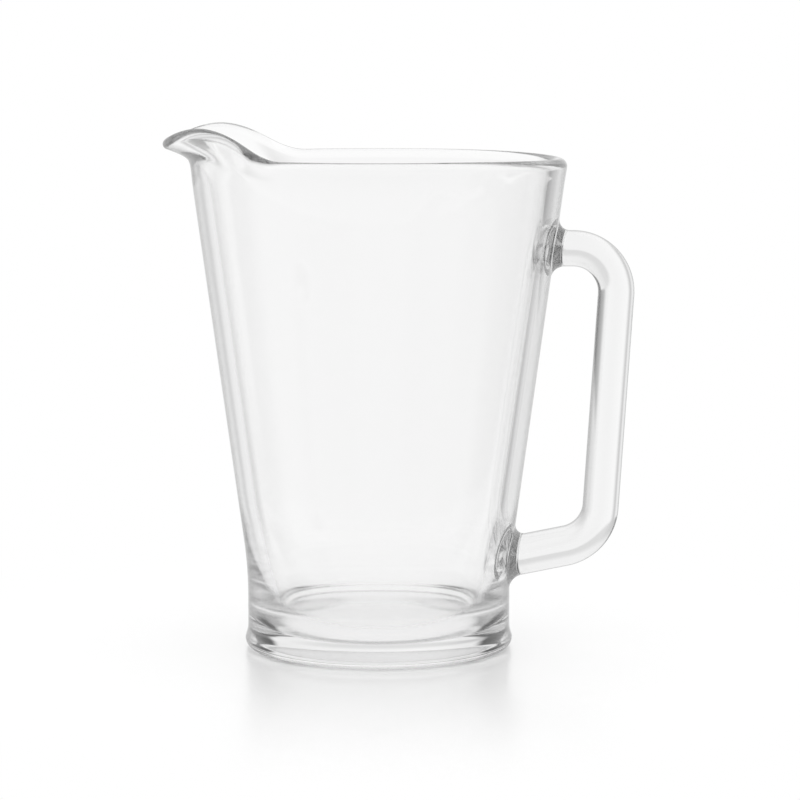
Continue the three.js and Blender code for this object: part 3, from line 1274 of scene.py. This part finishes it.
@dataclass(frozen=True)
class TableFinish:
    """Pale table with a soft sheen, which fades out into the white room."""

    name: str = "pale_table"
    matt: float = 0.30
    gloss: float = 0.50
    roughness: float = 0.25
    glow: float = 0.25
    fade_start: float = 0.05
    fade_end: float = 0.24
    under_radius: float = 0.056
    under_end: float = 0.0728
    # Painted shade under the foot, in the glow that the glass sees.
    under_shade_level: float = 0.96
    near_level: float = 1.0
    near_radius: float = 0.12
    table_radius: float = 0.22

    def make(self, room: Room) -> bpy.types.Material:
        """Makes the table's material, which light through the glass sees at the room's levels.

        Args:
            room: The room that the table stands in.

        Returns:
            The new material.
        """
        material = bpy.data.materials.new(self.name)
        material.use_nodes = True
        material.node_tree.nodes.remove(material.node_tree.nodes["Principled BSDF"])
        sheet = Sheet(material.node_tree)
        place = sheet.node("ShaderNodeTexCoord", {}).outputs["Object"]
        away = sheet.measure("LENGTH", place)
        # Painted light: seen through the glass, the table glows at set levels, with painted shade
        # under the foot and the room's darker levels further out.
        near = sheet.eased(
            away, self.under_radius, self.under_end, self.under_shade_level, self.near_level
        )
        far = sheet.by_azimuth(place, room.table)
        level = sheet.eased(away, self.near_radius, self.table_radius, near, far)
        lit = sheet.node("ShaderNodeEmission", {"Strength": level}).outputs[0]
        clear = sheet.node("ShaderNodeBsdfTransparent", {}).outputs[0]
        white = sheet.node("ShaderNodeEmission", {"Strength": 1.0}).outputs[0]
        fade = sheet.eased(away, self.fade_start, self.fade_end, 0.0, 1.0)
        plain = sheet.mixed(fade, self.top(sheet), white)
        bent = sheet.mixed(fade, lit, clear)
        whole = sheet.mixed(sheet.through_glass(), plain, bent)
        sheet.tree.links.new(whole, material.node_tree.nodes["Material Output"].inputs["Surface"])
        return material

    def top(self, sheet: Sheet) -> bpy.types.NodeSocket:
        """Adds the table's own surface.

        Args:
            sheet: The material's nodes.

        Returns:
            The surface's socket.
        """
        matt = sheet.node("ShaderNodeBsdfDiffuse", {"Color": grey(self.matt)}).outputs[0]
        sheen = {"Color": grey(self.gloss), "Roughness": self.roughness}
        gloss = sheet.node("ShaderNodeBsdfAnisotropic", sheen).outputs[0]
        glow = sheet.node("ShaderNodeEmission", {"Strength": self.glow}).outputs[0]
        skin = sheet.node("ShaderNodeAddShader", {0: matt, 1: gloss}).outputs[0]
        return sheet.node("ShaderNodeAddShader", {0: skin, 1: glow}).outputs[0]


@dataclass
class Studio:
    """The camera, the room and the table that the jug stands on."""

    distance: float = 1.240
    eye_height: float = 0.25154
    aside: float = 0.0087
    azimuth: float = math.radians(2.55)
    tilt: float = math.radians(6.934)
    lens: float = 138.24
    bounces: int = 128
    clear_bounces: int = 64
    floor_gap: float = 0.0004
    floor_sides: int = 96
    room: Room = Room()
    table: TableFinish = TableFinish()

    def make_camera(self) -> None:
        """Sets the camera where the view needs it."""
        data = bpy.data.cameras.new("camera")
        data.lens = self.lens
        camera = bpy.data.objects.new("camera", data)
        sine, cosine = math.sin(self.azimuth), math.cos(self.azimuth)
        camera.location = (
            self.distance * sine + self.aside * cosine,
            -self.distance * cosine + self.aside * sine,
            self.eye_height,
        )
        camera.rotation_euler = (math.pi / 2 - self.tilt, 0.0, self.azimuth)
        bpy.context.collection.objects.link(camera)
        bpy.context.scene.camera = camera

    def make_floor(self) -> None:
        """Lays the table's top just under the jug, out to where it has faded into the room."""
        mesh = bpy.data.meshes.new("floor")
        net = bmesh.new()
        bmesh.ops.create_circle(
            net, cap_ends=True, radius=self.table.fade_end, segments=self.floor_sides
        )
        net.to_mesh(mesh)
        net.free()
        mesh.materials.append(self.table.make(self.room))
        floor = bpy.data.objects.new("floor", mesh)
        floor.location.z = -self.floor_gap
        bpy.context.collection.objects.link(floor)

    def build(self) -> None:
        """Sets up the view, the light and the table."""
        scene = bpy.context.scene
        scene.view_settings.view_transform = "Standard"
        scene.cycles.max_bounces = self.bounces
        scene.cycles.transmission_bounces = self.bounces
        scene.cycles.glossy_bounces = self.bounces
        scene.cycles.transparent_max_bounces = self.clear_bounces
        scene.world = self.room.make()
        self.make_camera()
        self.make_floor()


def main() -> None:
    """Builds the jug piece by piece, then the room round it."""
    logging.basicConfig(level=logging.INFO, format="%(name)s: %(message)s")
    glass = GlassFinish().make()
    shaded_bar_glass = ShadedBarGlassFinish().make()
    fused = FusedFinish().make()
    wall = WallShape()
    handle = Handle(wall)
    vessel = Vessel(wall)
    pieces = [vessel.build(handle.seats(), glass, fused), handle.build(shaded_bar_glass, fused)]
    for piece in pieces:
        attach(piece, BODY)
        log.info("%s: %d faces", piece.name, len(piece.data.polygons))
    Studio().build()


if __name__ == "__main__":
    main()
